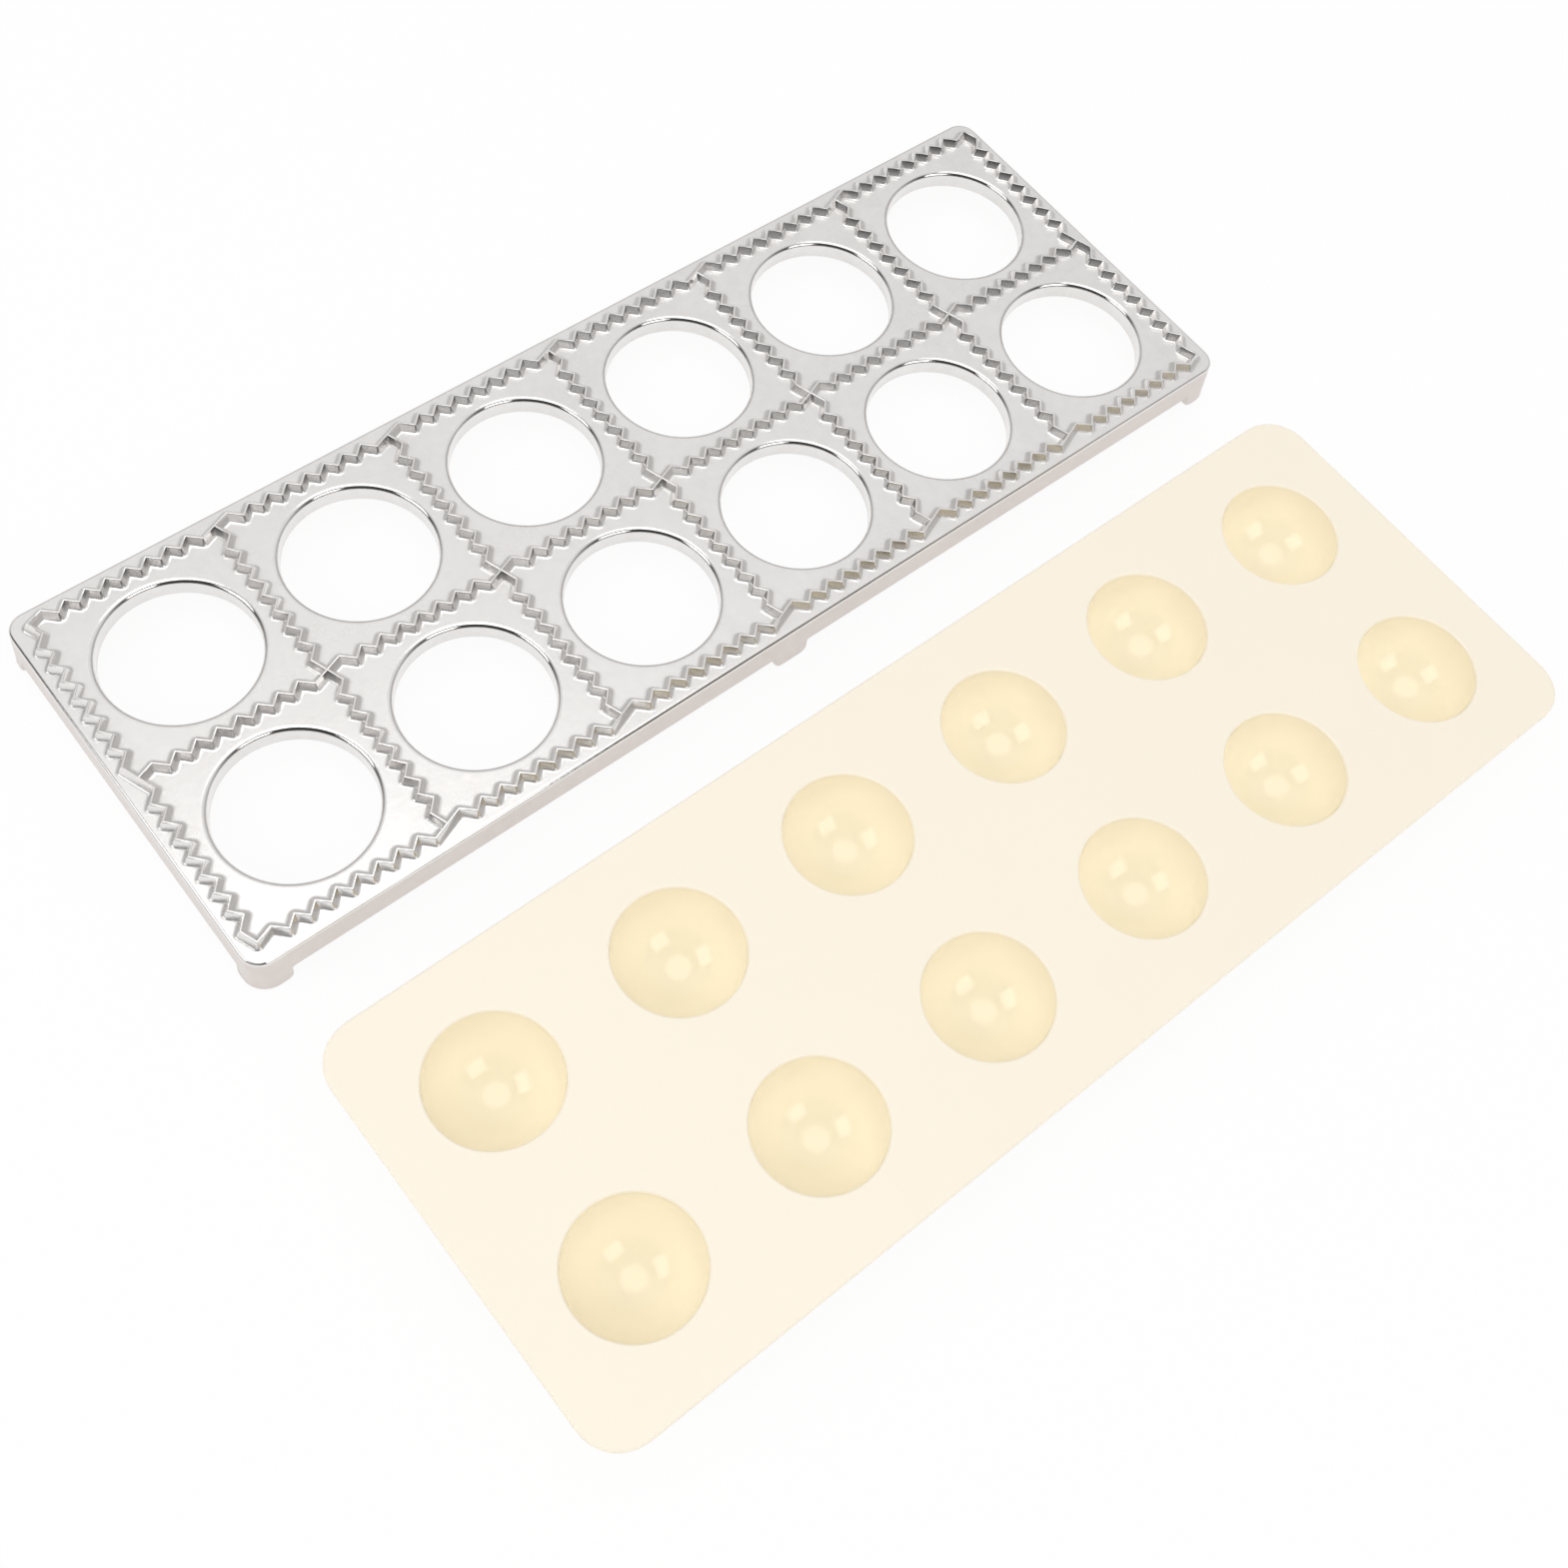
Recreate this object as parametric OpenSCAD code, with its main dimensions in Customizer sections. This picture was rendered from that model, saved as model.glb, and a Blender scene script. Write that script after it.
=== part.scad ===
// Ravioli mold in two pieces that stand side by side: a cast metal cutting plate with round
// cells and zigzag cutting ridges, and a thin plastic press tray whose hollow domes push the
// dough down into the cells. X runs along the row of cells, Y across it, Z up. Millimetres.

/* [Cells] */
// Cells along the length
cells_long = 6; // [2:1:8]
// Cells across the width
cells_wide = 2; // [1:1:3]
// Distance between the centres of neighbouring cells
cell_pitch = 49; // [47:0.5:60]

/* [Cutting plate] */
// Height of the plate's face above the surface that its feet stand on
plate_h = 12.9; // [10:0.1:25]
// Thickness of the plate between the cells
web_t = 4.9; // [2.5:0.1:7]
// Depth of the skirt below the face
skirt_h = 8; // [6:0.1:12]
// Thickness of the skirt's wall
skirt_t = 3; // [2:0.1:4]
// Plate beyond the end ridges' centre lines
end_margin = 4.6; // [4.5:0.1:10]
// Plate beyond the long border ridges' centre lines
side_margin = 4.8; // [4.5:0.1:10]
// Radius of the plate's corners, seen from above
plate_corner = 5; // [2.5:0.5:8]
// Rounding of the edge between the face and the skirt
plate_edge = 0.8; // [0.4:0.1:1]
// How far the outer walls lean out from the face down to the feet
wall_lean = 1; // [0:0.1:2]

/* [Cell holes] */
// Diameter of each cell's hole
hole_d = 38.2; // [30:0.1:39]
// Rounding of the rim round each hole
hole_rim = 1.3; // [0.5:0.1:1.5]

/* [Cutting ridges] */
// Height of the ridges above the face
ridge_h = 2.1; // [1.5:0.1:3]
// Width of the ridges' flat top
ridge_top = 0.5; // [0.3:0.05:0.8]
// How far a ridge's steep side leans out on its way down
ridge_lean = 0.85; // [0.5:0.05:1]
// Width of the fillet at the foot of a ridge
fillet_w = 0.75; // [0.4:0.05:0.8]
// Height of the fillet at the foot of a ridge
fillet_h = 0.35; // [0.2:0.05:0.5]
// Step from one corner of the zigzag to the next, along the line
zig_step = 2.65; // [2.4:0.05:3.2]
// Depth of the zigzag, across the line
zig_depth = 2.45; // [1.6:0.05:2.5]
// Turn of the straight bars that cross where four cells meet
bar_turn = 20.5; // [12:0.5:30]
// Least length of plain bar round a crossing
bar_room = 9; // [8:0.5:12]

/* [Feet] */
// Length of each foot along the plate
foot_l = 9.7; // [8:0.1:20]
// Depth of each foot, from the outer wall inward
foot_w = 8; // [5:0.5:12]
// Rounding of the feet's lower edges
foot_round = 2; // [0.5:0.1:2.5]

/* [Press tray] */
// Diameter of each bowl, below its rounded rim
bowl_d = 30.6; // [20:0.1:32]
// Depth of each bowl
bowl_depth = 16.7; // [16.5:0.1:24]
// Rounding of the rim round each bowl
bowl_rim = 0.5; // [0.3:0.1:1]
// Thickness of the tray's wall, the same all over
tray_t = 1.7; // [1.2:0.1:2.5]
// Length of the tray
tray_l = 301; // [285:0.5:320]
// Width of the tray
tray_w = 106.8; // [90:0.2:120]
// Radius of the tray's corners, seen from above
tray_corner = 10.5; // [5:0.5:16]
// Rounding of the tray's outer edge
tray_edge = 0.5; // [0.2:0.1:0.6]

/* [Places] */
// Free space between the plate and the tray as they stand
stand_gap = 21.8; // [5:0.1:60]
// How far the tray stands along X from the middle of the plate
tray_shift = -2.3; // [-20:0.1:20]

/* [Hidden] */
$fn = 64;

// Step of the short flats that make up a small rounding
arc_step = 15;
// How far a cutter reaches past the face that it opens
past = 1;
// How deep the foot of a ridge is sunk in the face
ridge_sink = 0.1;

plate_l = cells_long * cell_pitch + 2 * end_margin;
plate_w = cells_wide * cell_pitch + 2 * side_margin;
tray_h = bowl_depth + tray_t;

// Both pieces together are centred on the origin
plate_reach = plate_l / 2 + wall_lean;
tray_reach = tray_l / 2;
left_end = min(-plate_reach, tray_shift - tray_reach);
right_end = max(plate_reach, tray_shift + tray_reach);
plate_x = -(left_end + right_end) / 2;
tray_x = plate_x + tray_shift;
plate_y = (tray_w + stand_gap) / 2;
tray_y = -(plate_w + 2 * wall_lean + stand_gap) / 2;

// Points on a circle from one angle to another
function arc(centre, r, from, to) =
    [for (k = [0 : ceil(abs(to - from) / arc_step)])
        let (a = from + (to - from) * k / ceil(abs(to - from) / arc_step))
        centre + r * [cos(a), sin(a)]];

// Centre of a cell, counted from the piece's left front corner
function cell_centre(i, j) =
    [(i + 0.5 - cells_long / 2) * cell_pitch, (j + 0.5 - cells_wide / 2) * cell_pitch];

module at_cells() {
    for (i = [0 : cells_long - 1], j = [0 : cells_wide - 1])
        translate(cell_centre(i, j))
            children();
}

// Half of a slab's section: flat foot at z = 0, leaning side, rounded upper edge
module slab_section(half, h, edge, lean) {
    tilt = atan(lean / h);
    inset = edge * (1 - sin(tilt)) / cos(tilt);
    polygon(concat(
        [[0, 0], [half + lean, 0]],
        arc([half - inset, h - edge], edge, tilt, 90),
        [[0, h]]));
}

// Slab with round corners, rounded upper edge and walls that lean out towards the foot.
// The length and width are those of its upper face.
module slab(l, w, h, corner, edge, lean) {
    for (turn = [0, 180])
        rotate(turn) {
            translate([0, w / 2 - corner, 0])
                rotate([90, 0, 90])
                    linear_extrude(l - 2 * corner, center = true)
                        slab_section(corner, h, edge, lean);
            translate([l / 2 - corner, 0, 0])
                rotate([90, 0, 0])
                    linear_extrude(w - 2 * corner, center = true)
                        slab_section(corner, h, edge, lean);
            for (side = [-1, 1])
                translate([l / 2 - corner, side * (w / 2 - corner), 0])
                    rotate(side * 45 - 45)
                        rotate_extrude(angle = 90)
                            slab_section(corner, h, edge, lean);
        }
    linear_extrude(h)
        square([l - 2 * corner, w - 2 * corner], center = true);
}

// Flat rectangle with round corners
module round_rectangle(l, w, r) {
    square([l - 2 * r, w], center = true);
    square([l, w - 2 * r], center = true);
    for (x = [-1, 1], y = [-1, 1])
        translate([x * (l / 2 - r), y * (w / 2 - r)])
            circle(r);
}

// Everything outside this block is cut away below the skirt: its lower edges are round
module foot_block(l, w) {
    intersection() {
        rotate([90, 0, 0])
            linear_extrude(w, center = true)
                foot_side(l);
        rotate([90, 0, 90])
            linear_extrude(l, center = true)
                foot_side(w);
    }
}

module foot_side(l) {
    polygon(concat(
        arc([foot_round - l / 2, foot_round], foot_round, 180, 270),
        arc([l / 2 - foot_round, foot_round], foot_round, 270, 360),
        [[l / 2, plate_h - web_t / 2], [-l / 2, plate_h - web_t / 2]]));
}

// A foot at each corner and one in the middle of each long side, flush with the outer wall
module feet() {
    foot_y = plate_w / 2 + wall_lean - foot_w / 2;
    foot_x = plate_l / 2 + wall_lean - foot_l / 2;
    for (x = [-foot_x, 0, foot_x], y = [-foot_y, foot_y])
        translate([x, y, 0])
            foot_block(foot_l, foot_w);
}

// Tool that opens one cell: a plain bore that widens to a rounded rim at the face
module cell_cutter() {
    r = hole_d / 2;
    rotate_extrude()
        polygon(concat(
            [[0, -web_t - past], [r, -web_t - past]],
            arc([r + hole_rim, -hole_rim], hole_rim, 180, 90),
            [[r + hole_rim, past], [0, past]]));
}

// The shell under the face: web, skirt and feet
module plate_body() {
    skirt_foot = plate_h - skirt_h;
    difference() {
        intersection() {
            slab(plate_l, plate_w, plate_h, plate_corner, plate_edge, wall_lean);
            union() {
                translate([0, 0, skirt_foot])
                    linear_extrude(skirt_h + past)
                        square([plate_l, plate_w] + 2 * (wall_lean + past) * [1, 1], center = true);
                feet();
            }
        }
        difference() {
            translate([0, 0, skirt_foot - past])
                linear_extrude(skirt_h - web_t + past)
                    round_rectangle(plate_l - 2 * skirt_t, plate_w - 2 * skirt_t,
                        max(plate_corner - skirt_t, 1));
            feet();
        }
        translate([0, 0, plate_h])
            at_cells()
                cell_cutter();
    }
}

// Corners of the zigzag over one cell edge. x runs along the line, y across it. Plain bars
// cross at both ends of the edge, and the outer legs run on until they meet them.
zig_count = 2 * floor((cell_pitch - bar_room) / (2 * zig_step));
zig_slope = zig_depth / zig_step;
zig_start = (cell_pitch - (zig_count - 1) * zig_step) / 2;
bar_end_x = (zig_slope * zig_start - zig_depth / 2) / (tan(bar_turn) + zig_slope);
bar_end = [bar_end_x, bar_end_x * tan(bar_turn)];
edge_corners = concat(
    [bar_end],
    [for (k = [0 : zig_count - 1])
        [zig_start + k * zig_step, (k % 2 == 0 ? -1 : 1) * zig_depth / 2]],
    [[cell_pitch, 0] - bar_end]);

// Corners of a whole line over so many cell edges, without its two ends
function line_corners(cells) =
    [for (i = [0 : cells - 1], p = edge_corners) [i * cell_pitch, 0] + p];

// Corners of the line between two rows of cells, from left to right. The lines are counted
// from the back, and each has its ends on the end borders.
function long_line(j) =
    [for (p = line_corners(cells_long))
        p + [-cells_long / 2, cells_wide / 2 - j] * cell_pitch];

// Corners of the line between two columns of cells, from back to front
function cross_line(i) =
    [for (p = line_corners(cells_wide))
        [p[1], -p[0]] + [i - cells_long / 2, cells_wide / 2] * cell_pitch];

function reversed(list) = [for (k = [len(list) - 1 : -1 : 0]) list[k]];

// Points where lines cross
function crossing(i, j) = [i - cells_long / 2, cells_wide / 2 - j] * cell_pitch;

border = concat(
    [crossing(0, 0)], long_line(0),
    [crossing(cells_long, 0)], cross_line(cells_long),
    [crossing(cells_long, cells_wide)], reversed(long_line(cells_wide)),
    [crossing(0, cells_wide)], reversed(cross_line(0)));

// Half section of a ridge from its sunk foot to its top: distance out from the centre line,
// and height above the face
half_top = ridge_top / 2;
fillet_slope = fillet_w / fillet_h;
half_section = [
    [half_top + ridge_lean + fillet_w + ridge_sink * fillet_slope, -ridge_sink],
    [half_top + ridge_lean, fillet_h],
    [half_top, ridge_h]];
ridge_section = concat(half_section, [for (p = reversed(half_section)) [-p[0], p[1]]]);

function unit(v) = v / norm(v);
function left_of(a, b) = let (d = unit(b - a)) [-d[1], d[0]];

// Point beside a corner of the path where the two legs' offset lines meet
function mitre(corner, n1, n2, out) =
    let (m = unit(n1 + n2)) corner + m * out / (m * n1);

// Ridge along a path of straight legs, with mitred corners
module ridge(path, closed) {
    n = len(path);
    rim = len(ridge_section);
    legs = closed ? n : n - 1;
    normals = [for (i = [0 : legs - 1]) left_of(path[i], path[(i + 1) % n])];
    before = [for (i = [0 : n - 1]) normals[closed ? (i + n - 1) % n : max(i - 1, 0)]];
    after = [for (i = [0 : n - 1]) normals[closed ? i : min(i, legs - 1)]];
    points = [for (i = [0 : n - 1], s = ridge_section)
        let (p = mitre(path[i], before[i], after[i], s[0])) [p[0], p[1], s[1]]];
    sides = [for (i = [0 : legs - 1], j = [0 : rim - 1])
        let (here = i * rim, next = (i + 1) % n * rim, k = (j + 1) % rim)
        [here + j, next + j, next + k, here + k]];
    caps = closed ? [] : [
        [for (j = [0 : rim - 1]) j],
        [for (j = [rim - 1 : -1 : 0]) legs * rim + j]];
    polyhedron(points, concat(sides, caps));
}

// Border ridge round all cells, and the ridges between them that end in it
module ridges() {
    ridge(border, true);
    for (j = [1 : 1 : cells_wide - 1])
        ridge(concat([crossing(0, j)], long_line(j), [crossing(cells_long, j)]), false);
    for (i = [1 : 1 : cells_long - 1])
        ridge(concat([crossing(i, 0)], cross_line(i), [crossing(i, cells_wide)]), false);
}

module cutting_plate() {
    color([0.82, 0.81, 0.80])
        translate([plate_x, plate_y, 0]) {
            plate_body();
            translate([0, 0, plate_h])
                ridges();
        }
}

// Half section of a dome or bowl: a quarter circle under a straight neck
module dome_section(r, neck) {
    intersection() {
        circle(r);
        translate([0, -r])
            square(r);
    }
    square([r, neck]);
}

// Tool that hollows one dome, with the rounded rim at the tray's upper face
module bowl_cutter() {
    r = bowl_d / 2;
    neck = bowl_depth - r;
    rotate_extrude()
        dome_section(r, neck);
    rotate_extrude()
        polygon(concat(
            [[0, 0], [r, 0]],
            arc([r + bowl_rim, neck - bowl_rim], bowl_rim, 180, 90),
            [[r + bowl_rim, neck + past], [0, neck + past]]));
}

module press_tray() {
    dome_r = bowl_d / 2 + tray_t;
    color([0.97, 0.94, 0.87])
        translate([tray_x, tray_y, 0])
            difference() {
                union() {
                    translate([0, 0, tray_h - tray_t])
                        slab(tray_l, tray_w, tray_t, tray_corner, tray_edge, 0);
                    translate([0, 0, dome_r])
                        at_cells()
                            rotate_extrude()
                                dome_section(dome_r, tray_h - tray_t / 2 - dome_r);
                }
                translate([0, 0, dome_r])
                    at_cells()
                        bowl_cutter();
            }
}

cutting_plate();
press_tray();
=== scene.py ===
# Ravioli mold: a die-cast cutting plate with zigzag ridges, and the moulded press tray that
# stands beside it. Every shape is a numpy surface in millimetres, made into metres at the end.
import math

import bmesh
import bpy
import numpy as np
from mathutils import Matrix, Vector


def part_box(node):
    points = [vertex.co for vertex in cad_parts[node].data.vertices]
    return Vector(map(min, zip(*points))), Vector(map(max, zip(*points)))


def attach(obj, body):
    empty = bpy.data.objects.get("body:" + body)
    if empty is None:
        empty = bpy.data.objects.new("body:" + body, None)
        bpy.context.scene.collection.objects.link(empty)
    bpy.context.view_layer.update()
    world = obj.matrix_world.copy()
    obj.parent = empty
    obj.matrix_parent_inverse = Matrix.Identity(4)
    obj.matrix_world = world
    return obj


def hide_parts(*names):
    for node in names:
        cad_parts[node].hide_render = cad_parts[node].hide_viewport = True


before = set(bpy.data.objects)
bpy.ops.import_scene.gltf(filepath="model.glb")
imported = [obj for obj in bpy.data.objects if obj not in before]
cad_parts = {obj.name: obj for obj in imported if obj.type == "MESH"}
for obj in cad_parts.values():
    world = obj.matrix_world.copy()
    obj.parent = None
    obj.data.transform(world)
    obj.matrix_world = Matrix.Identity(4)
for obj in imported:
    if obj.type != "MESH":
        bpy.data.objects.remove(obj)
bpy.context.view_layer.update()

MM = 0.001
BODY = "root"

# Cells, shared by both pieces
CELLS_LONG, CELLS_WIDE, PITCH = 6, 2, 49.0
CELL_HALF = PITCH / 2

# Cutting plate
PLATE_HALF_L, PLATE_HALF_W, PLATE_H = 151.6, 53.8, 12.9
PLATE_CORNER, PLATE_EDGE, LEAN = 5.0, 0.8, 1.0
WEB, SKIRT_H, SKIRT_T = 4.9, 8.0, 3.0
HOLE_R, HOLE_RIM, HOLE_FOOT = 19.1, 1.3, 0.4
FOOT_L, FOOT_W, FOOT_ROUND, FOOT_FILLET = 9.7, 8.0, 2.0, 0.8
SKIRT_ROUND, FOOT_MORE_ROUND, WEB_FILLET = 0.5, 0.8, 0.8

# Zigzag ridges
RIDGE_H, RIDGE_TOP, RIDGE_LEAN = 2.1, 0.5, 0.85
FILLET_W, FILLET_H, RIDGE_SINK = 0.75, 0.35, 0.1
ZIG_STEP, ZIG_DEPTH, BAR_TURN, ZIG_COUNT = 2.65, 2.45, 20.5, 14

# Press tray
TRAY_HALF_L, TRAY_HALF_W, TRAY_H, TRAY_T = 150.5, 53.4, 18.4, 1.7
TRAY_CORNER, TRAY_EDGE, TRAY_UNDER_EDGE = 10.5, 0.5, 0.3
BOWL_R, BOWL_DEPTH, BOWL_RIM, DOME_FILLET = 15.3, 16.7, 0.5, 0.7

# Narrow flat strip beside a rounding, which keeps the rounding's shading off the flat
STRIP, BOWL_STRIP = 0.3, 0.25


def middle_of(name):
    """Middle of a node's box seen from above, in millimetres."""
    low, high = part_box(name)
    return np.array([(low[0] + high[0]) / 2, (low[1] + high[1]) / 2]) / MM


PLATE_MIDDLE = middle_of("cutting_plate")
TRAY_MIDDLE = middle_of("press_tray")


def steps(first, last, count):
    """Evenly spaced numbers from first to last, both ends among them."""
    return np.linspace(first, last, count)


def round_corner(out, up, r, from_deg, to_deg, count):
    """Arc of a profile: (out + r cos a, up + r sin a) for angles a between the two given."""
    a = np.radians(steps(from_deg, to_deg, count))
    return np.column_stack([out + r * np.cos(a), up + r * np.sin(a)])


def quads(rows, cols, ring=False):
    """Faces between neighbouring rows and columns of a grid. A ring joins its last column
    to its first."""
    row = np.arange(rows - 1)[:, None]
    col = np.arange(cols if ring else cols - 1)[None, :]
    after = (col + 1) % cols
    return np.stack([row * cols + col, row * cols + after,
                     (row + 1) * cols + after, (row + 1) * cols + col], -1).reshape(-1, 4)


def join(patches):
    """One list of points and faces out of several grids of points, each with its faces."""
    points, faces, count = [], [], 0
    for grid, grid_faces in patches:
        points.append(grid.reshape(-1, 3))
        faces.append(grid_faces + count)
        count += points[-1].shape[0]
    return np.vstack(points), np.vstack(faces)


def square_ring(per_side):
    """Directions round a cell and the points of its square edge, both evenly spaced from the
    left front corner onward: the angle runs by equal steps, and so does the place on a side."""
    k = np.arange(4 * per_side)
    angle = np.radians(-135 + 90 * k / per_side)
    corners = CELL_HALF * np.array([[-1, -1], [1, -1], [1, 1], [-1, 1], [-1, -1]])
    side, part = k // per_side, (k % per_side / per_side)[:, None]
    edge = corners[side] * (1 - part) + corners[side + 1] * part
    return np.column_stack([np.cos(angle), np.sin(angle)]), edge


def cell_surface(profile, per_side, spread):
    """Surface of revolution in the middle of a cell whose first profile point runs out to
    the cell's square edge: point = radius * direction, and between the first circle and the
    square it is a straight blend by the given shares."""
    way, edge = square_ring(per_side)
    circle = profile[:, 0, None, None] * way[None]
    share = np.asarray(spread)[:, None, None]
    flat = circle[:1] * (1 - share) + edge[None] * share
    plan = np.concatenate([flat, circle])
    up = np.concatenate([np.full(len(spread), profile[0, 1]), profile[:, 1]])
    return np.dstack([plan, np.broadcast_to(up[:, None], plan.shape[:2])])


def at_all_cells(surface, middle):
    """Copies of a cell's surface at every cell of a piece whose middle is given."""
    faces = quads(*surface.shape[:2], ring=True)
    made = []
    for i in range(CELLS_LONG):
        for j in range(CELLS_WIDE):
            place = [middle[0] + (i + 0.5 - CELLS_LONG / 2) * PITCH,
                     middle[1] + (j + 0.5 - CELLS_WIDE / 2) * PITCH, 0]
            made.append((surface + place, faces))
    return made


class Edge:
    """Columns round a piece from its left front corner. Each has a point on the edge of the
    block of cells, the centre that its part of the outline turns round, and the way out.
    A point at a given distance from the outline is centre + (corner radius + distance) * out."""

    def __init__(self, half_l, half_w, corner, per_side, extra_long=(), extra_short=()):
        self.corner = corner
        inner = np.array([half_l - corner, half_w - corner])
        block = np.array([CELLS_LONG, CELLS_WIDE]) * CELL_HALF
        starts = block * np.array([[-1, -1], [1, -1], [1, 1], [-1, 1]])
        along = np.array([[1, 0], [0, 1], [-1, 0], [0, -1]])
        step = PITCH / per_side
        places = []
        for cells, extra in ((CELLS_LONG, extra_long), (CELLS_WIDE, extra_short)) * 2:
            own = np.arange(1, cells * per_side) * step
            extra = np.asarray(extra, float) + cells * CELL_HALF
            places.append(np.sort(np.concatenate([own, extra])))
        start, centre, out, side_of = [], [], [], []
        for side in range(4):
            place = places[side]
            anchor = np.floor(place / step + 1e-6) * step
            first = starts[side]
            here = np.sign(starts[side]) * inner
            a0 = self.way(starts[side - 1] + along[side - 1] * places[side - 1][-1], inner)
            a1 = self.way(first + along[side] * place[0], inner)
            angles = np.arctan2([a0[1], a1[1]], [a0[0], a1[0]])
            if angles[1] < angles[0]:
                angles[1] += 2 * math.pi
            fan = steps(angles[0], angles[1], 3 + int(np.degrees(angles[1] - angles[0]) / 10))
            start.append(np.repeat(first[None], len(fan), 0))
            centre.append(np.repeat(here[None], len(fan), 0))
            out.append(np.column_stack([np.cos(fan), np.sin(fan)]))
            side_of.append(np.full(len(fan), -1))
            spot = first + along[side] * place[:, None]
            start.append(first + along[side] * anchor[:, None])
            middle = np.clip(spot, -inner, inner)
            centre.append(middle)
            way = spot - middle
            out.append(way / np.linalg.norm(way, axis=1)[:, None])
            side_of.append(np.full(len(place), side))
        self.start = np.vstack(start)
        self.centre = np.vstack(centre)
        self.out = np.vstack(out)
        self.side = np.concatenate(side_of)

    @staticmethod
    def way(spot, inner):
        """Way out of the outline beside a point of the block of cells."""
        off = spot - np.clip(spot, -inner, inner)
        return off / np.linalg.norm(off)

    def surface(self, distance, height):
        """Grid from the cells' edge over a profile and back. Distance and height have one row
        for each profile point and one column for each column of the edge, or one value."""
        count = len(self.start)
        distance = np.broadcast_to(distance, (len(distance), count))
        height = np.broadcast_to(height, (len(height), count))
        plan = self.centre[None] + (self.corner + distance)[..., None] * self.out[None]
        plan = np.concatenate([self.start[None], plan, self.start[None]])
        height = np.concatenate([height[:1], height, height[-1:]])
        return np.dstack([plan, height])


def tray_surface():
    """The tray's upper and lower skins over each cell, and the rounded edge round them."""
    per_side = 28
    middle_z = TRAY_H - BOWL_DEPTH + BOWL_R
    neck = TRAY_H - BOWL_RIM
    bowl = np.vstack([
        [[BOWL_R + BOWL_RIM + BOWL_STRIP, TRAY_H]],
        round_corner(BOWL_R + BOWL_RIM, neck, BOWL_RIM, 90, 180, 7),
        round_corner(0, middle_z, BOWL_R, 0, -90, 22)])
    dome_r, under = BOWL_R + TRAY_T, TRAY_H - TRAY_T
    dome = np.vstack([
        [[dome_r + DOME_FILLET + STRIP, under]],
        round_corner(dome_r + DOME_FILLET, under - DOME_FILLET, DOME_FILLET, 90, 180, 5),
        round_corner(0, dome_r, dome_r, 0, -90, 20)])
    dome[:, 1] = np.minimum(dome[:, 1], under)
    upper = cell_surface(bowl, per_side, [1, 0.6, 0.2])
    lower = cell_surface(dome, per_side, [1, 0.5])
    edge = Edge(TRAY_HALF_L, TRAY_HALF_W, TRAY_CORNER, per_side)
    turn = np.vstack([
        [[-TRAY_EDGE - STRIP, TRAY_H]],
        round_corner(-TRAY_EDGE, TRAY_H - TRAY_EDGE, TRAY_EDGE, 90, 0, 6),
        round_corner(-TRAY_UNDER_EDGE, under + TRAY_UNDER_EDGE, TRAY_UNDER_EDGE, 0, -90, 4),
        [[-TRAY_UNDER_EDGE - 2 * STRIP, under]]])
    ring = edge.surface(turn[:, 0, None], turn[:, 1, None])
    move = [TRAY_MIDDLE[0], TRAY_MIDDLE[1], 0]
    return join(at_all_cells(upper, TRAY_MIDDLE) + at_all_cells(lower, TRAY_MIDDLE)
                + [(ring + move, quads(*ring.shape[:2], ring=True))])


def foot_edge(at, side):
    """Lower edge of the skirt where a foot begins: a fillet, the foot's end wall and its
    rounded corner. Place along the skirt and height, with the foot on the given side."""
    skirt_foot = PLATE_H - SKIRT_H
    wall_slope = 0.1
    fillet = round_corner(-FOOT_FILLET, skirt_foot - FOOT_FILLET, FOOT_FILLET, 90, 0, 5)
    corner = round_corner(wall_slope + FOOT_ROUND, FOOT_ROUND, FOOT_ROUND, 180, 270, 7)
    path = np.vstack([fillet, corner])
    path[:, 0] = at + side * path[:, 0]
    return path[::side]


def skirt_depth():
    """Place and height of the skirt's lower edge over a long and over a short side."""
    long_end = PLATE_HALF_L + LEAN - FOOT_L
    short_end = PLATE_HALF_W + LEAN - FOOT_W
    long_side = np.vstack([foot_edge(-long_end, -1), foot_edge(-FOOT_L / 2, 1),
                           foot_edge(FOOT_L / 2, -1), foot_edge(long_end, 1)])
    short_side = np.vstack([foot_edge(-short_end, -1), foot_edge(short_end, 1)])
    return long_side, short_side


def foot_height(edge, long_side, short_side):
    """Height of the skirt's lower edge at every column of the plate's edge. The corners of
    the plate stand on feet, so it is 0 there."""
    foot = np.where(edge.side % 2 == 0,
                    np.interp(edge.centre[:, 0], long_side[:, 0], long_side[:, 1]),
                    np.interp(edge.centre[:, 1], short_side[:, 0], short_side[:, 1]))
    foot[edge.side < 0] = 0
    # On the steep end walls the places repeat, so the height comes from the path itself
    for side, path in enumerate((long_side, short_side) * 2):
        own = np.flatnonzero(edge.side == side)
        travel = edge.centre[own, side % 2] * (1 if side < 2 else -1)
        for place, height in path:
            foot[own[np.abs(travel - place) < 1e-6]] = height
    return foot


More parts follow.
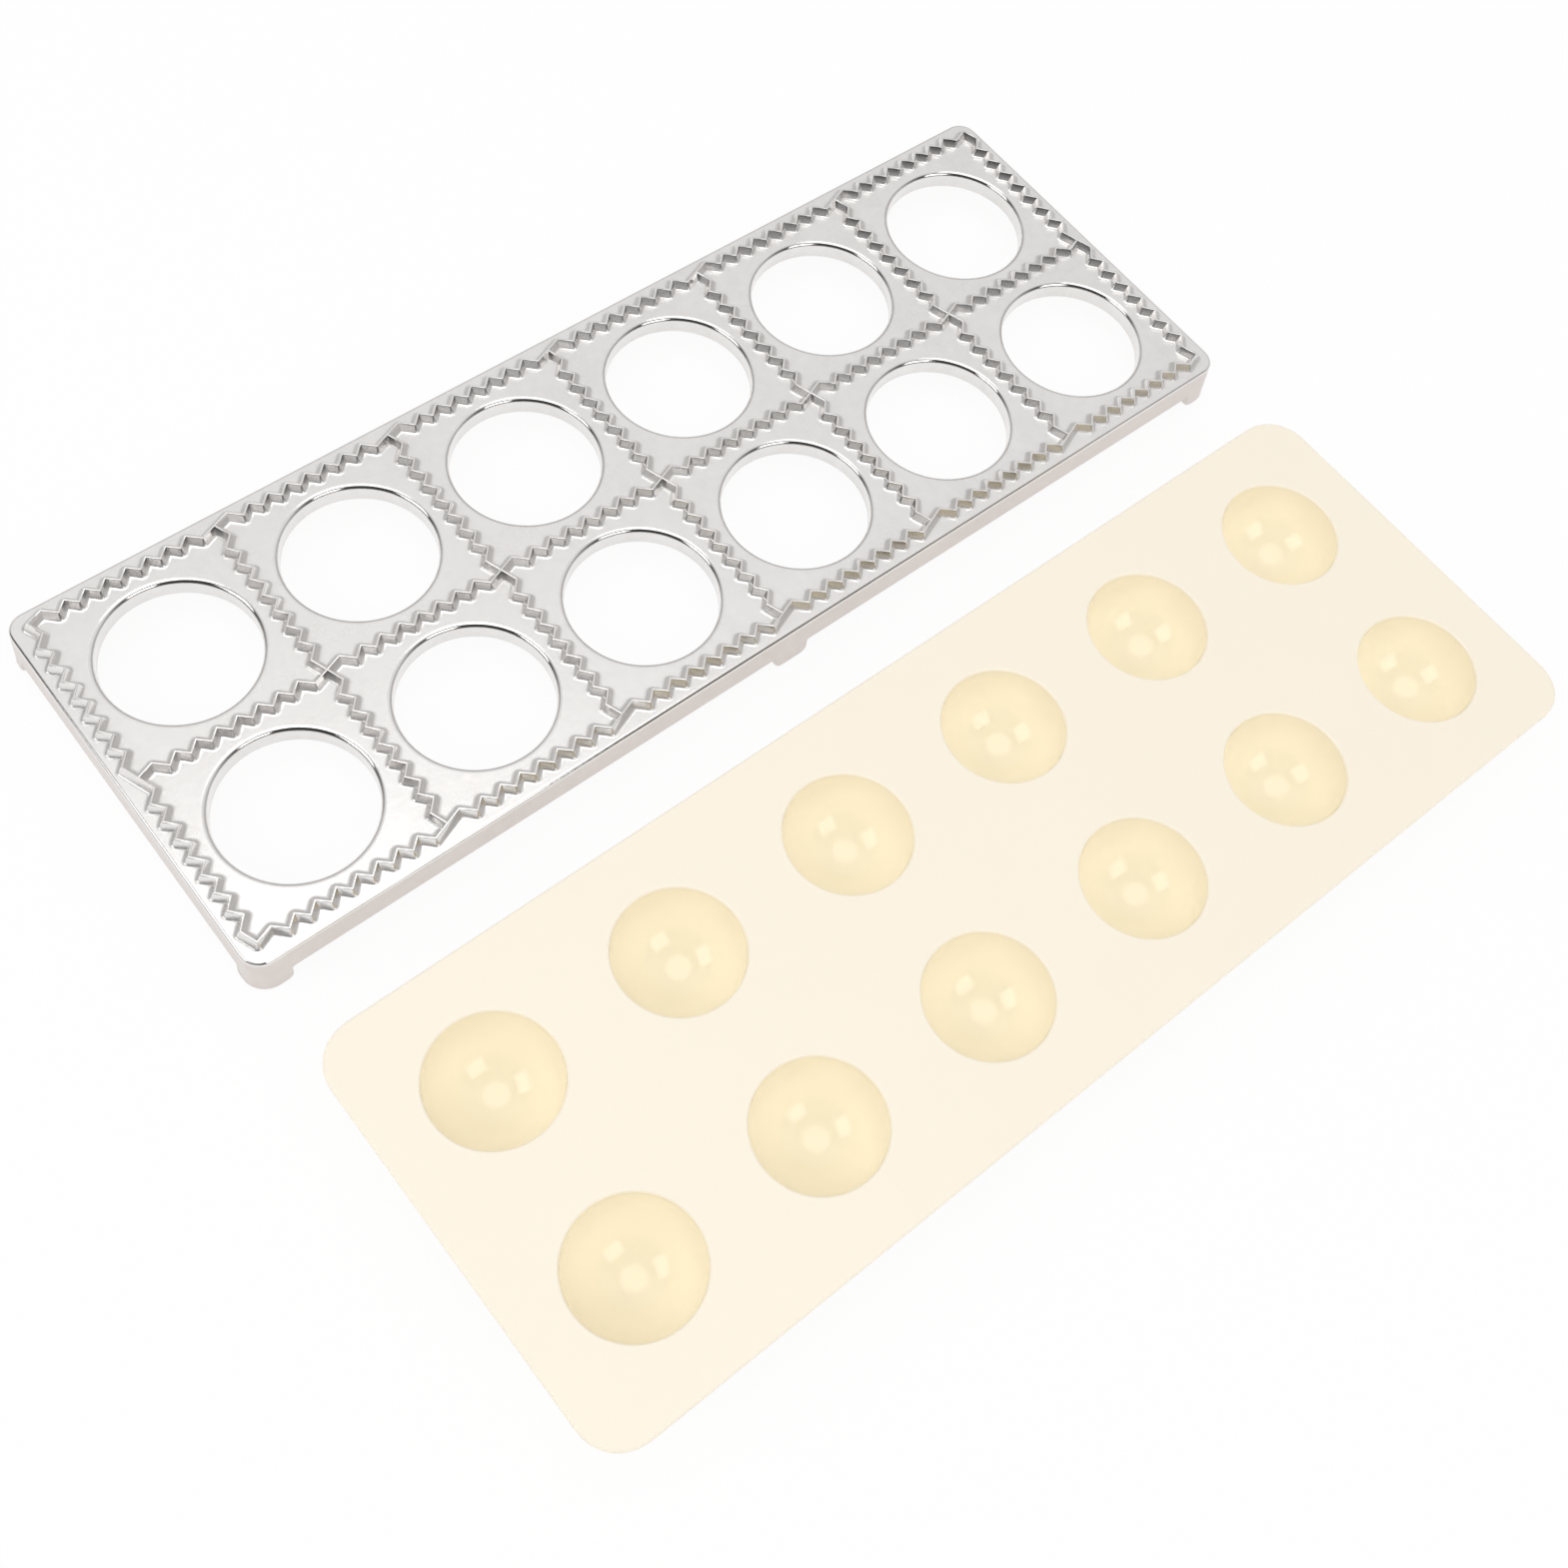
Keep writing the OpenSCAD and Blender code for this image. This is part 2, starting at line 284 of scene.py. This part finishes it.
def skirt_ring(edge, foot):
    """The shell round the cells, over the columns of the plate's edge: the face's rounded
    edge, the leaning skirt down to the given height, its rounded lower edge, and its inner
    side up to the fillet under the web. The rounding outside grows from skirt to foot."""
    under = PLATE_H - WEB
    share = 1 - foot / (PLATE_H - SKIRT_H)
    outer_round = SKIRT_ROUND + FOOT_MORE_ROUND * share
    tilt = math.atan(LEAN / PLATE_H)
    inset = PLATE_EDGE * (1 - math.sin(tilt)) / math.cos(tilt)
    ones = np.ones(len(foot))
    rows = [(-inset - STRIP) * ones]
    ups = [PLATE_H * ones]
    for out, up in round_corner(-inset, PLATE_H - PLATE_EDGE, PLATE_EDGE,
                                90, math.degrees(tilt), 7):
        rows.append(out * ones)
        ups.append(up * ones)
    for part in (0.05, 0.5, 0.95):
        up = (PLATE_H - PLATE_EDGE) * (1 - part) + (foot + outer_round) * part
        rows.append(LEAN * (PLATE_H - up) / PLATE_H)
        ups.append(up)
    low = LEAN * (PLATE_H - foot) / PLATE_H
    for a in np.radians(steps(0, -90, 6)):
        rows.append(low - outer_round + outer_round * np.cos(a))
        ups.append(foot + outer_round + outer_round * np.sin(a))
    for a in np.radians(steps(-90, -180, 4)):
        rows.append((-SKIRT_T + SKIRT_ROUND + SKIRT_ROUND * np.cos(a)) * ones)
        ups.append(foot + SKIRT_ROUND + SKIRT_ROUND * np.sin(a))
    for a in np.radians(steps(0, 90, 5)):
        rows.append((-SKIRT_T - WEB_FILLET + WEB_FILLET * np.cos(a)) * ones)
        ups.append((under - WEB_FILLET + WEB_FILLET * np.sin(a)) * ones)
    return edge.surface(np.array(rows), np.array(ups))


def foot_core(low, high):
    """Inner part of a foot, behind the skirt, over a rectangle between two corners: a block
    whose lower edges are round. On each level it is the rectangle with round corners, and at
    a corner of the plate no point lies further out than the plate's own round corner."""
    centre, half = (low + high) / 2, (high - low) / 2
    corner, bottom, top = 1.0, 0.04, PLATE_H - WEB + 0.3
    shrink = np.vstack([round_corner(-FOOT_ROUND, FOOT_ROUND + bottom, FOOT_ROUND, -90, 0, 6),
                        [[0, top]]])
    a = np.radians(np.arange(0, 360, 15) + 7.5)
    way = np.column_stack([np.cos(a), np.sin(a)])
    rim = np.sign(way) * (half - corner) + corner * way
    plan = rim[None] * ((half + shrink[:, 0, None])[:, None] / half) + centre
    straight = np.array([PLATE_HALF_L, PLATE_HALF_W]) - PLATE_CORNER
    within = PLATE_CORNER - 0.1
    over = np.maximum(abs(plan) - straight, 0)
    reach = np.maximum(np.linalg.norm(over, axis=2, keepdims=True), 0.1)
    at_corner = over.min(2, keepdims=True) > 0
    pull = np.where(at_corner, np.minimum(within / reach, 1), 1)
    plan = np.sign(plan) * (np.minimum(abs(plan), straight) + over * pull)
    grid = np.dstack([plan, np.broadcast_to(shrink[:, 1, None], plan.shape[:2])])
    ends = [np.repeat(np.array([[*centre, z]]), len(a), 0)[None] for z in (bottom, top)]
    return np.concatenate([ends[0], grid, ends[1]])


def foot_cores():
    """Inner parts of all six feet, a little inside the skirt and the feet's end walls."""
    behind_skirt, behind_wall, behind_side = 0.9, 0.12, 0.04
    end_x, end_y = PLATE_HALF_L + LEAN, PLATE_HALF_W + LEAN
    near, far = end_y - FOOT_W + behind_side, end_y - behind_skirt
    made = []
    for left, right in ((behind_skirt - end_x, FOOT_L - behind_wall - end_x),
                        (behind_wall - FOOT_L / 2, FOOT_L / 2 - behind_wall),
                        (end_x - FOOT_L + behind_wall, end_x - behind_skirt)):
        for front, back in ((-far, -near), (near, far)):
            made.append(foot_core(np.array([left, front]), np.array([right, back])))
    return made


def plate_surface():
    """The cast shell: face, rims and holes over the cells, and round them the face's edge,
    the leaning skirt with its feet, and the underside. The feet's inner parts go with it."""
    per_side = 32
    under = PLATE_H - WEB
    hole = np.vstack([
        [[HOLE_R + HOLE_RIM + STRIP, PLATE_H]],
        round_corner(HOLE_R + HOLE_RIM, PLATE_H - HOLE_RIM, HOLE_RIM, 90, 180, 9),
        round_corner(HOLE_R + HOLE_FOOT, under + HOLE_FOOT, HOLE_FOOT, 180, 270, 4),
        [[HOLE_R + HOLE_FOOT + STRIP, under]]])
    edge_points = square_ring(per_side)[1]
    square = np.dstack([edge_points[None], np.full((1, len(edge_points), 1), under)])
    cells = np.concatenate([cell_surface(hole, per_side, [1, 0.6, 0.2]), square])
    long_side, short_side = skirt_depth()
    edge = Edge(PLATE_HALF_L, PLATE_HALF_W, PLATE_CORNER, per_side,
                long_side[:, 0], short_side[:, 0])
    ring = skirt_ring(edge, foot_height(edge, long_side, short_side))
    move = [PLATE_MIDDLE[0], PLATE_MIDDLE[1], 0]
    return join(at_all_cells(cells, PLATE_MIDDLE)
                + [(grid + move, quads(*grid.shape[:2], ring=True))
                   for grid in [ring] + foot_cores()])


def zigzag_over(cells):
    """Corners of a zigzag line over so many cell edges. x runs along it and y across it, and
    the outer legs of each edge run on until they meet the plain bars that cross at its ends."""
    slope = ZIG_DEPTH / ZIG_STEP
    first = (PITCH - (ZIG_COUNT - 1) * ZIG_STEP) / 2
    turn = math.tan(math.radians(BAR_TURN))
    bar = (slope * first - ZIG_DEPTH / 2) / (turn + slope)
    k = np.arange(ZIG_COUNT)
    inner = np.column_stack([first + k * ZIG_STEP, np.where(k % 2, 0.5, -0.5) * ZIG_DEPTH])
    one = np.vstack([[bar, bar * turn], inner, [PITCH - bar, -bar * turn]])
    starts = np.column_stack([np.arange(cells) * PITCH, np.zeros(cells)])
    return (starts[:, None] + one[None]).reshape(-1, 2)


def long_line(j):
    """Zigzag between two rows of cells, from left to right, the lines counted from the back."""
    return zigzag_over(CELLS_LONG) + np.array([-CELLS_LONG / 2, CELLS_WIDE / 2 - j]) * PITCH


def cross_line(i):
    """Zigzag between two columns of cells, from back to front: the long line turned right."""
    line = zigzag_over(CELLS_WIDE)
    place = np.array([i - CELLS_LONG / 2, CELLS_WIDE / 2]) * PITCH
    return np.column_stack([line[:, 1], -line[:, 0]]) + place


def crossing(i, j):
    """Point where a cross line and a long line meet."""
    return np.array([[i - CELLS_LONG / 2, CELLS_WIDE / 2 - j]]) * PITCH


def ridge_profile(drop):
    """Half of a ridge's section from its crowned top, which falls 0.13 mm to its lip, down
    the steep side and the hollow fillet into the face: distance from the centre line and
    height above the face. The fillet's steps turn from the side's slope to nearly level."""
    half_top = RIDGE_TOP / 2
    top = RIDGE_H - drop
    lip = np.array([[0, top], [half_top * 0.55, top - 0.006], [half_top * 0.9, top - 0.04],
                    [half_top + 0.05, top - 0.13]])
    foot_out = half_top + RIDGE_LEAN
    steep = math.degrees(math.atan2(RIDGE_H - FILLET_H, RIDGE_LEAN))
    bend = np.radians(steps(steep, 13, 7))
    fall = np.cumsum(np.column_stack([np.cos(bend), -np.sin(bend)]), axis=0)
    fall = fall / fall[-1] * [FILLET_W, -(FILLET_H - 0.02)]
    fillet = np.vstack([[0, 0], fall]) + [foot_out, FILLET_H]
    sink = [[foot_out + FILLET_W + 0.08, -RIDGE_SINK]]
    return np.vstack([lip, fillet, sink])


def ridge_along(path, closed, drop):
    """The ridge's section carried along a path of straight legs. On the outside of a corner
    the section turns about the path's own corner, and on its inside the two legs' offset
    lines meet in a mitre."""
    half = ridge_profile(drop)
    section = np.vstack([half[::-1] * [-1, 1], half[1:]])
    before = path - np.roll(path, 1, 0)
    after = np.roll(path, -1, 0) - path
    if not closed:
        before[0], after[-1] = after[0], before[-1]
    before /= np.linalg.norm(before, axis=1)[:, None]
    after /= np.linalg.norm(after, axis=1)[:, None]
    a = np.arctan2(before[:, 1], before[:, 0])
    turn = np.arctan2(before[:, 0] * after[:, 1] - before[:, 1] * after[:, 0],
                      (before * after).sum(1))
    part = steps(0, 1, 6)
    heading = a[:, None] + turn[:, None] * part[None]
    left = np.dstack([-np.sin(heading), np.cos(heading)])
    mid = a + turn / 2
    mitre = np.column_stack([-np.sin(mid), np.cos(mid)]) / np.cos(turn / 2)[:, None]
    out = section[:, 0]
    inside = (out[None, None] * turn[:, None, None]) > 0
    way = np.where(inside[..., None], mitre[:, None, None], left[:, :, None])
    plan = path[:, None, None] + way * out[None, None, :, None]
    up = np.broadcast_to(section[:, 1], plan.shape[:3])
    grid = np.concatenate([plan, up[..., None]], -1).reshape(-1, len(section), 3)
    if closed:
        grid = np.concatenate([grid, grid[:1]])
    grid = np.concatenate([grid, grid[:, :1]], 1)
    patches = [(grid, quads(*grid.shape[:2]))]
    if not closed:
        for end in (grid[0], grid[-1]):
            cap = np.stack([end, np.repeat(end[:1], len(end), 0)])
            patches.append((cap, quads(2, len(end))))
    return join(patches)


def ridge_surfaces():
    """Border ridge round all cells and the ridges between the cells, with small steps in
    height so that no two tops lie in one plane where they cross."""
    border = np.vstack([
        crossing(0, 0), long_line(0), crossing(CELLS_LONG, 0), cross_line(CELLS_LONG),
        crossing(CELLS_LONG, CELLS_WIDE), long_line(CELLS_WIDE)[::-1],
        crossing(0, CELLS_WIDE), cross_line(0)[::-1]])
    made = [ridge_along(border, True, 0)]
    for j in range(1, CELLS_WIDE):
        path = np.vstack([crossing(0, j), long_line(j), crossing(CELLS_LONG, j)])
        made.append(ridge_along(path, False, 0.02))
    for i in range(1, CELLS_LONG):
        path = np.vstack([crossing(i, 0), cross_line(i), crossing(i, CELLS_WIDE)])
        made.append(ridge_along(path, False, 0.04))
    points, faces = join(made)
    return points + [PLATE_MIDDLE[0], PLATE_MIDDLE[1], PLATE_H], faces


def plate_finish(spot):
    """Marks on the plate's points for its two finishes. Polished: the rounded hole rims, the
    face's outer edge and the lips of the ridges. As cast, with a painted reflection of the shaded
    floor and the cream tray in its colour: the skirt, the feet and the underside, which is
    everything below the face's edge that isn't a hole."""
    x, y = spot[:, 0] - PLATE_MIDDLE[0], spot[:, 1] - PLATE_MIDDLE[1]
    z = spot[:, 2]
    from_hole = np.hypot(x % PITCH - CELL_HALF, (y + PITCH) % PITCH - CELL_HALF) - HOLE_R
    over_cells = (abs(x) < CELLS_LONG * CELL_HALF) & (abs(y) < CELLS_WIDE * CELL_HALF)
    slack = 0.05
    at_hole = over_cells & (from_hole < HOLE_RIM + slack)
    outside = np.maximum(abs(x) - PLATE_HALF_L, abs(y) - PLATE_HALF_W) > -PLATE_EDGE * 0.9
    rim = at_hole & (z > PLATE_H - HOLE_RIM - 0.1) & (z < PLATE_H - 0.01)
    edge = outside & (z > PLATE_H - PLATE_EDGE - slack)
    lip = z > PLATE_H + RIDGE_H - 0.2
    cast = ~at_hole & (z < PLATE_H - PLATE_EDGE - slack)
    return {"polished": rim | edge | lip, "cast_and_painted_reflection": cast}


def make_piece(name, surface, material, node, sharp_deg, finish=None):
    """Mesh object out of millimetre points and quads: doubles are merged, so that the grids
    close into one skin, faces are turned outward and edges past an angle stay sharp. A finish
    gives marks that the material reads."""
    points, faces = surface
    mesh = bpy.data.meshes.new(name)
    mesh.from_pydata(points * MM, [], faces.tolist())
    work = bmesh.new()
    work.from_mesh(mesh)
    bmesh.ops.remove_doubles(work, verts=work.verts, dist=2e-7)
    bmesh.ops.recalc_face_normals(work, faces=work.faces)
    work.to_mesh(mesh)
    work.free()
    if finish:
        spot = np.empty(len(mesh.vertices) * 3)
        mesh.vertices.foreach_get("co", spot)
        for label, where in finish(spot.reshape(-1, 3) / MM).items():
            values = mesh.attributes.new(label, "FLOAT", "POINT").data
            values.foreach_set("value", where.astype(float))
    mesh.shade_smooth()
    mesh.set_sharp_from_angle(angle=math.radians(sharp_deg))
    mesh.materials.append(material)
    piece = bpy.data.objects.new(name, mesh)
    bpy.context.scene.collection.objects.link(piece)
    even = piece.modifiers.new("even_normals", "WEIGHTED_NORMAL")
    even.keep_sharp = True
    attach(piece, BODY)
    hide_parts(node)
    return piece


# Materials

def add(tree, kind, inputs=None, **settings):
    """New node with its settings and the values or links of its inputs."""
    made = tree.nodes.new(kind)
    for name, value in settings.items():
        setattr(made, name, value)
    for name, value in (inputs or {}).items():
        if isinstance(value, bpy.types.NodeSocket):
            tree.links.new(value, made.inputs[name])
        else:
            made.inputs[name].default_value = value
    return made


def new_group(name, inputs, outputs):
    """Shader node group with named float, colour or vector sockets."""
    group = bpy.data.node_groups.new(name, "ShaderNodeTree")
    for in_out, sockets in (("INPUT", inputs), ("OUTPUT", outputs)):
        for socket, kind in sockets.items():
            group.interface.new_socket(socket, in_out=in_out, socket_type="NodeSocket" + kind)
    return group, group.nodes.new("NodeGroupInput"), group.nodes.new("NodeGroupOutput")


def blotch_group():
    """Cloudy mask between 0 and 1 out of two sizes of noise, with a set contrast."""
    group, given, result = new_group(
        "cloudy_blotches", {"Vector": "Vector", "Size": "Float", "Contrast": "Float"},
        {"Mask": "Float"})
    big = add(group, "ShaderNodeTexNoise", {"Vector": given.outputs["Vector"],
              "Scale": given.outputs["Size"], "Detail": 3.0, "Roughness": 0.55})
    twice = add(group, "ShaderNodeMath", {0: given.outputs["Size"], 1: 4.3}, operation="MULTIPLY")
    small = add(group, "ShaderNodeTexNoise", {"Vector": given.outputs["Vector"],
                "Scale": twice.outputs[0], "Detail": 2.0})
    both = add(group, "ShaderNodeMath", {0: small.outputs["Fac"], 1: 0.45, 2: big.outputs["Fac"]},
               operation="MULTIPLY_ADD")
    middle = add(group, "ShaderNodeMath", {0: both.outputs[0], 1: 0.725}, operation="SUBTRACT")
    spread = add(group, "ShaderNodeMath", {0: middle.outputs[0], 1: given.outputs["Contrast"],
                 2: 0.5}, operation="MULTIPLY_ADD", use_clamp=True)
    group.links.new(spread.outputs[0], result.inputs["Mask"])
    return group


def grain_group():
    """Fine raised grain: the bent normal of a small noise, at a set size and depth."""
    group, given, result = new_group(
        "fine_grain", {"Vector": "Vector", "Size": "Float", "Depth": "Float"},
        {"Normal": "Vector"})
    noise = add(group, "ShaderNodeTexNoise", {"Vector": given.outputs["Vector"],
                "Scale": given.outputs["Size"], "Detail": 4.0, "Roughness": 0.6})
    bump = add(group, "ShaderNodeBump", {"Height": noise.outputs["Fac"],
               "Distance": given.outputs["Depth"], "Strength": 1.0})
    group.links.new(bump.outputs["Normal"], result.inputs["Normal"])
    return group


BLOTCHES = blotch_group()
GRAIN = grain_group()


def use_group(tree, group, **inputs):
    """A group node in a material with its own values."""
    return add(tree, "ShaderNodeGroup", inputs, node_tree=group)


def empty_tree(owner, output_kind):
    """Shader tree of a material or a world, with its output and nothing else."""
    owner.use_nodes = True
    tree = owner.node_tree
    tree.nodes.clear()
    return tree, tree.nodes.new(output_kind)


def start_material(name):
    """Empty material: its tree, the Principled shader and the Object coordinates."""
    material = bpy.data.materials.new(name)
    tree, output = empty_tree(material, "ShaderNodeOutputMaterial")
    shader = tree.nodes.new("ShaderNodeBsdfPrincipled")
    tree.links.new(shader.outputs[0], output.inputs["Surface"])
    place = tree.nodes.new("ShaderNodeTexCoord").outputs["Object"]
    return material, tree, shader, place


def mark(tree, name):
    """A mark between 0 and 1 that a piece carries on its points."""
    return add(tree, "ShaderNodeAttribute", attribute_name=name).outputs["Fac"]


def blend(tree, share, first, last):
    """Number that goes from first to last with a share between 0 and 1."""
    return add(tree, "ShaderNodeMapRange",
               {"Value": share, "To Min": first, "To Max": last}).outputs[0]


def mixed(tree, share, first, last, **settings):
    """Colour that goes from first to last with a share between 0 and 1. The Mix node's two
    colour inputs are its sockets 6 and 7."""
    return add(tree, "ShaderNodeMix", {"Factor": share, 6: first, 7: last},
               data_type="RGBA", **settings).outputs[2]


def grey(level):
    """Grey of a given level."""
    return (level, level, level, 1)


def cast_aluminium():
    """Bright die-cast aluminium: faint cloudy flow marks in colour and gloss over a fine
    grain, polished rims and lips, and a rougher skin as cast on skirt and underside, whose
    darker, warmer colour is a painted reflection of the shaded floor and the cream tray."""
    material, tree, shader, place = start_material("cast_aluminium")
    polished, cast_and_painted_reflection = mark(tree, "polished"), mark(tree, "cast_and_painted_reflection")
    clouds = use_group(tree, BLOTCHES, Vector=place, Size=75.0, Contrast=1.8).outputs["Mask"]
    flecks = use_group(tree, BLOTCHES, Vector=place, Size=420.0, Contrast=2.0).outputs["Mask"]
    face = mixed(tree, clouds, (0.80, 0.78, 0.765, 1), (0.86, 0.84, 0.825, 1))
    # Painted reflection: the skirt's darker, warmer colour stands in for the shaded floor and the
    # cream tray it reflects; its rougher as-cast finish is real.
    skin = mixed(tree, clouds, (0.70, 0.637, 0.602, 1), (0.745, 0.684, 0.648, 1))
    tone = mixed(tree, cast_and_painted_reflection, face, skin)
    fine = mixed(tree, flecks, grey(0.96), grey(1))
    colour = mixed(tree, 1.0, tone, fine, blend_type="MULTIPLY")
    matt = blend(tree, clouds, 0.29, 0.23)
    matt = blend(tree, cast_and_painted_reflection, matt, 0.28)
    matt = blend(tree, polished, matt, 0.09)
    metal_share = blend(tree, polished, 0.80, 1.0)
    grain = use_group(tree, GRAIN, Vector=place, Size=900.0, Depth=0.000018)
    tree.links.new(colour, shader.inputs["Base Color"])
    tree.links.new(matt, shader.inputs["Roughness"])
    tree.links.new(metal_share, shader.inputs["Metallic"])
    tree.links.new(grain.outputs["Normal"], shader.inputs["Normal"])
    return material


def cream_plastic():
    """Cream moulded plastic: a satin sheet with polished bowls, told apart by height. The bowls'
    colour is lighter and yellower than the sheet's: painted light that lifts the shade inside the
    bowls.
    """
    material, tree, shader, place = start_material("cream_plastic")
    height = add(tree, "ShaderNodeSeparateXYZ", {0: place}).outputs["Z"]
    sheet = add(tree, "ShaderNodeMapRange", {"Value": height, "From Min": 0.0170,
                "From Max": 0.0183}).outputs[0]
    clouds = use_group(tree, BLOTCHES, Vector=place, Size=40.0, Contrast=1.2).outputs["Mask"]
    tone = mixed(tree, clouds, (0.93, 0.855, 0.715, 1), (0.945, 0.87, 0.735, 1))
    # Painted light: the bowls are lighter and yellower than the sheet, though both are one
    # plastic, to lift the shade inside the bowls.
    bowl = (0.998, 0.917, 0.716, 1)
    grain = use_group(tree, GRAIN, Vector=place, Size=1400.0,
                      Depth=blend(tree, sheet, 0.000001, 0.00002))
    tree.links.new(mixed(tree, sheet, bowl, tone), shader.inputs["Base Color"])
    tree.links.new(blend(tree, sheet, 0.035, 0.42), shader.inputs["Roughness"])
    tree.links.new(grain.outputs["Normal"], shader.inputs["Normal"])
    shader.inputs["IOR"].default_value = 1.55
    return material


# Studio

LAMP_POWER = 14.5


def white_floor():
    """Wide white floor. What the camera or a reflection sees is mostly an even white, and the
    rest is the lit floor, which keeps the soft shadow."""
    half, z = 4.0, -0.00002
    even_share = 0.93
    mesh = bpy.data.meshes.new("floor")
    mesh.from_pydata([(-half, -half, z), (half, -half, z), (half, half, z), (-half, half, z)],
                     [], [(0, 1, 2, 3)])
    floor = bpy.data.objects.new("floor", mesh)
    bpy.context.scene.collection.objects.link(floor)
    material = bpy.data.materials.new("floor_white")
    tree, output = empty_tree(material, "ShaderNodeOutputMaterial")
    lit = add(tree, "ShaderNodeBsdfDiffuse", {"Color": grey(0.92)})
    even = add(tree, "ShaderNodeEmission", {"Color": grey(1), "Strength": 1.0})
    path = tree.nodes.new("ShaderNodeLightPath")
    seen = add(tree, "ShaderNodeMath", {0: path.outputs["Is Camera Ray"],
               1: path.outputs["Is Glossy Ray"]}, operation="MAXIMUM")
    seen = add(tree, "ShaderNodeMath", {0: seen.outputs[0],
               1: path.outputs["Is Transmission Ray"]}, operation="MAXIMUM")
    share = add(tree, "ShaderNodeMath", {0: seen.outputs[0], 1: even_share},
                operation="MULTIPLY")
    mix = add(tree, "ShaderNodeMixShader", {0: share.outputs[0], 1: lit.outputs[0],
              2: even.outputs[0]})
    tree.links.new(mix.outputs[0], output.inputs["Surface"])
    mesh.materials.append(material)


def studio_world():
    """Surroundings seen in the metal: bright above and behind, grey low down behind, and on
    the side where the photographer stands dark above a grey horizon. The floor and the
    object are lit by one even level, and the camera sees white."""
    toward_back = (0.79, 0.61, 0.0)
    horizon, dark, low_behind, high_front, high_behind = 0.42, 0.05, 0.54, 0.38, 0.86
    even_light = 0.62
    world = bpy.data.worlds.new("studio")
    bpy.context.scene.world = world
    tree, output = empty_tree(world, "ShaderNodeOutputWorld")
    way = tree.nodes.new("ShaderNodeTexCoord").outputs["Generated"]
    height = add(tree, "ShaderNodeSeparateXYZ", {0: way}).outputs["Z"]
    toward = add(tree, "ShaderNodeVectorMath", {0: way, 1: toward_back},
                 operation="DOT_PRODUCT").outputs["Value"]
    behind = add(tree, "ShaderNodeMapRange", {"Value": toward, "From Min": -0.35,
                 "From Max": 0.40}, interpolation_type="SMOOTHSTEP").outputs[0]
    raised = add(tree, "ShaderNodeMath", {0: behind, 1: 0.36, 2: height},
                 operation="MULTIPLY_ADD").outputs[0]
    high = add(tree, "ShaderNodeMapRange", {"Value": raised, "From Min": 0.82,
               "From Max": 1.04}, interpolation_type="SMOOTHSTEP").outputs[0]
    front = add(tree, "ShaderNodeMapRange", {"Value": height, "From Min": 0.08,
                "From Max": 0.20, "To Min": horizon, "To Max": dark},
                interpolation_type="SMOOTHSTEP").outputs[0]
    low_part = mixed(tree, behind, front, grey(low_behind))
    high_part = mixed(tree, behind, grey(high_front), grey(high_behind))
    path = tree.nodes.new("ShaderNodeLightPath")
    lit = mixed(tree, path.outputs["Is Diffuse Ray"], mixed(tree, high, low_part, high_part),
                grey(even_light))
    seen = mixed(tree, path.outputs["Is Camera Ray"], lit, grey(1))
    background = add(tree, "ShaderNodeBackground", {"Color": seen, "Strength": 1.0})
    tree.links.new(background.outputs[0], output.inputs["Surface"])


def stand(name, data, axes, place):
    """Object in the scene whose own x, y and z axes and place in metres are given."""
    made = bpy.data.objects.new(name, data)
    made.matrix_world = Matrix([[*row] for row in np.column_stack([*axes, place])]
                               + [[0, 0, 0, 1]])
    bpy.context.scene.collection.objects.link(made)
    return made


def soft_lamp(name, place_mm, size, shape="SQUARE"):
    """Soft lamp at a place, turned to the middle of the object."""
    light = bpy.data.lights.new(name, "AREA")
    light.shape = shape
    light.size = size
    light.energy = LAMP_POWER
    place = np.array(place_mm) * MM
    back = place / np.linalg.norm(place)
    side = np.cross([0, 0, 1], back)
    side /= np.linalg.norm(side)
    stand(name, light, (side, np.cross(back, side), back), place)


def photo_camera():
    """Camera at the photograph's viewing angle: slope, turn and roll, in degrees."""
    slope, turn, roll = (math.radians(v) for v in (61.936, -51.9987, -14.6654))
    ahead = np.array([-math.sin(turn) * math.cos(slope), math.cos(turn) * math.cos(slope),
                      -math.sin(slope)])
    right = np.cross(ahead, [0, 0, 1])
    right /= np.linalg.norm(right)
    down = np.cross(ahead, right)
    x = math.cos(roll) * right + math.sin(roll) * down
    y = math.sin(roll) * right - math.cos(roll) * down
    data = bpy.data.cameras.new("camera")
    data.lens = 42.8536
    data.sensor_width = 36.0
    data.clip_start = 0.01
    bpy.context.scene.camera = stand("camera", data, (x, y, -ahead),
                                     np.array([-190.857, -147.629, 399.246]) * MM)


photo_camera()
white_floor()
studio_world()
soft_lamp("lamp_front", (43, -2292, 1676), 1.45)
soft_lamp("lamp_left", (-2124, 752, 1626), 1.45)
soft_lamp("lamp_above", (-90, 132, 2488), 2.0, "DISK")
bpy.context.scene.view_settings.view_transform = "Standard"

metal = cast_aluminium()
plastic = cream_plastic()
make_piece("plate_shell", plate_surface(), metal, "cutting_plate", 40,
           plate_finish)
make_piece("zigzag_ridges", ridge_surfaces(), metal, "cutting_plate", 32,
           plate_finish)
make_piece("tray_shell", tray_surface(), plastic, "press_tray", 40)

bpy.context.view_layer.update()
